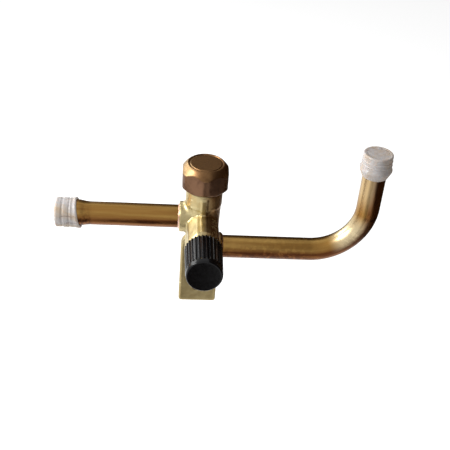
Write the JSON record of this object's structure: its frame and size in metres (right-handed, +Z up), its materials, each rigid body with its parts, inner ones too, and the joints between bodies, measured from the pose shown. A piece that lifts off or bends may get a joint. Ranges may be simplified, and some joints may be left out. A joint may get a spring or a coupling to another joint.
{
  "type": "refrigerant service valve",
  "caption": "Angle-type brass stop valve with a hexagon stem cap, a capped service port, a flat mounting tongue and brazed tubes, one straight and one bent upright.",
  "frame": {"origin": "midway between the two mounting holes, on the back face of the mounting tongue", "axes": "+X along the level part of the bent tube, +Y out of the back of the mounting face, +Z up along the stem towards the hexagon cap"},
  "size_m": [0.1335, 0.0481, 0.0809],
  "materials": {
    "forged_brass": "satin forged",
    "cap_brass": "dull machined",
    "stem_brass": "machined",
    "copper_tube": "tarnished drawn tube",
    "braze_metal": "bright",
    "washer_copper": "soft annealed",
    "black_plastic": "gloss moulded",
    "white_polyethylene": "waxy translucent",
    "seal_rubber": "smooth",
    "seal_ptfe": "smooth",
    "spring_steel": "bright wire"
  },
  "bodies": {
    "valve": {"valve_body": "forged_brass", "left_tube": "copper_tube", "right_tube": "copper_tube", "left_braze_ring": "braze_metal", "right_braze_ring": "braze_metal", "stem_retaining_ring": "spring_steel", "core_plug": "stem_brass", "core_barrel": "stem_brass", "core_gasket": "seal_ptfe", "core_spring": "spring_steel"},
    "stem_seals": {"stem_o_ring_lower": "seal_rubber", "stem_o_ring_upper": "seal_rubber"},
    "stem": {"valve_stem": "stem_brass", "stem_seat_seal": "seal_ptfe"},
    "hex_cap_seal": {"stem_cap_washer": "washer_copper"},
    "hex_cap": {"stem_cap": "cap_brass"},
    "port_cap_seal": {"service_cap_seal": "seal_rubber"},
    "port_cap": {"service_cap": "black_plastic"},
    "depressor": {"core_pin": "stem_brass", "core_cup": "seal_rubber"},
    "left_cap": {"left_dust_cap": "white_polyethylene"},
    "right_cap": {"right_dust_cap": "white_polyethylene"}
  },
  "joints": [
    {"name": "stem_rise", "type": "slide", "parent": "valve", "child": "stem_seals", "axis": [0, 0, 1], "range_m": [0, 0.00451]},
    {"name": "stem_turn", "type": "hinge", "parent": "stem_seals", "child": "stem", "pos_m": [0, -0.008, 0.033], "axis": [0, 0, 1], "range_deg": [0, 1620]},
    {"name": "hex_cap_rise", "type": "slide", "parent": "valve", "child": "hex_cap_seal", "axis": [0, 0, 1], "range_m": [0, 0.00826]},
    {"name": "hex_cap_turn", "type": "hinge", "parent": "hex_cap_seal", "child": "hex_cap", "pos_m": [0, -0.008, 0.053], "axis": [0, 0, 1], "range_deg": [0, 1980]},
    {"name": "port_cap_slide", "type": "slide", "parent": "valve", "child": "port_cap_seal", "axis": [0, -1, 0], "range_m": [0, 0.01334]},
    {"name": "port_cap_turn", "type": "hinge", "parent": "port_cap_seal", "child": "port_cap", "pos_m": [0, -0.036, 0.0316], "axis": [0, -1, 0], "range_deg": [0, 3780]},
    {"name": "depressor_press", "type": "slide", "parent": "valve", "child": "depressor", "axis": [0, 1, 0], "range_m": [0, 0.0015], "stiffness_N_per_m": 500, "springref_m": -0.002, "deforming": ["core_spring"]},
    {"name": "left_cap_pull", "type": "slide", "parent": "valve", "child": "left_cap", "axis": [-1, 0, 0], "range_m": [0, 0.014]},
    {"name": "right_cap_pull", "type": "slide", "parent": "valve", "child": "right_cap", "axis": [0, 0, 1], "range_m": [0, 0.014]}
  ],
  "couplings": [
    {"joint": "stem_rise", "follows": "stem_turn", "m_per_rad": 0.00015915},
    {"joint": "hex_cap_rise", "follows": "hex_cap_turn", "m_per_rad": 0.00023873},
    {"joint": "port_cap_slide", "follows": "port_cap_turn", "m_per_rad": 0.00020213}
  ]
}
